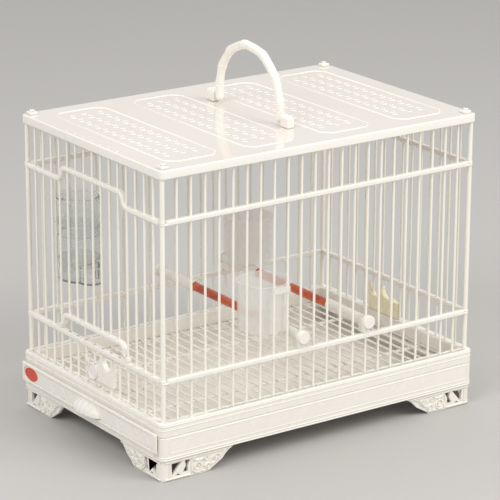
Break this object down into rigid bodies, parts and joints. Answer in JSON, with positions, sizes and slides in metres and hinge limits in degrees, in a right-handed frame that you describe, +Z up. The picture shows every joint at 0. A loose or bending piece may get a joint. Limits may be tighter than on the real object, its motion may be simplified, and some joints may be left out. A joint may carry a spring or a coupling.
{
  "type": "small bird cage",
  "caption": "Oblong bird cage of thin upright bars with a flat moulded lid, folding arched handle, lift door, pull-out drawer, slide latches, perches, cups and seed tube.",
  "frame": {"origin": "middle of the outline at the level that the feet stand on", "axes": "+X along the long side, with the door and the drawer at -X; +Z up"},
  "size_m": [0.4166, 0.2752, 0.4056],
  "materials": {
    "ivory_plastic": "glossy ivory white",
    "lid_plastic": "very glossy ivory white",
    "coated_wire": "glossy ivory coating",
    "pin_steel": "plain steel",
    "red_plastic": "glossy red",
    "pale_yellow_plastic": "glossy pale yellow",
    "perch_wood": "stained red-brown",
    "frosted_plastic": "frosted, see-through",
    "clear_plastic": "clear"
  },
  "bodies": {
    "cage": {"roof_panel": "lid_plastic", "post_caps": "ivory_plastic", "handle_bracket_front": "ivory_plastic", "handle_bracket_rear": "ivory_plastic", "handle_pivot_pins": "pin_steel", "corner_posts": "coated_wire", "front_bars": "coated_wire", "rear_bars": "coated_wire", "right_bars": "coated_wire", "left_bars_near": "coated_wire", "left_bars_far": "coated_wire", "left_bars_under_door": "coated_wire", "lower_rail_front": "ivory_plastic", "lower_rail_rear": "ivory_plastic", "lower_rail_left": "ivory_plastic", "lower_rail_right": "ivory_plastic", "upper_rail_front": "ivory_plastic", "upper_rail_rear": "ivory_plastic", "upper_rail_left": "ivory_plastic", "upper_rail_right": "ivory_plastic", "rim_frame": "ivory_plastic", "base_body": "ivory_plastic", "foot_front_left": "ivory_plastic", "foot_front_right": "ivory_plastic", "foot_rear_left": "ivory_plastic", "foot_rear_right": "ivory_plastic", "floor_grate_bars": "coated_wire", "floor_grate_slats": "coated_wire", "perch_1_rod": "perch_wood", "perch_1_ends": "ivory_plastic", "perch_2_rod": "perch_wood", "perch_2_ends": "ivory_plastic", "cup_front": "frosted_plastic", "cup_rear": "frosted_plastic", "seed_tube": "clear_plastic", "tube_dish": "clear_plastic", "tube_holder": "clear_plastic"},
    "handle": {"carry_handle": "ivory_plastic"},
    "door": {"lift_door_strip": "ivory_plastic", "lift_door_bars": "coated_wire"},
    "drawer": {"drawer_tray": "ivory_plastic", "drawer_front": "ivory_plastic", "drawer_pull": "ivory_plastic", "badge_plate": "red_plastic"},
    "left_latch": {"latch_left": "ivory_plastic"},
    "right_latch": {"latch_right": "pale_yellow_plastic"}
  },
  "joints": [
    {"name": "handle_fold", "type": "hinge", "parent": "cage", "child": "handle", "pos_m": [0.00585, 0, 0.3338], "axis": [0, 1, 0], "range_deg": [-90, 90]},
    {"name": "door_lift", "type": "slide", "parent": "cage", "child": "door", "axis": [0, 0, 1], "range_m": [0, 0.125]},
    {"name": "drawer_pull_out", "type": "slide", "parent": "cage", "child": "drawer", "axis": [-1, 0, 0], "range_m": [0, 0.35]},
    {"name": "left_latch_lift", "type": "slide", "parent": "cage", "child": "left_latch", "axis": [0, 0, 1], "range_m": [-0.007, 0]},
    {"name": "right_latch_lift", "type": "slide", "parent": "cage", "child": "right_latch", "axis": [0, 0, 1], "range_m": [0, 0.007]}
  ]
}
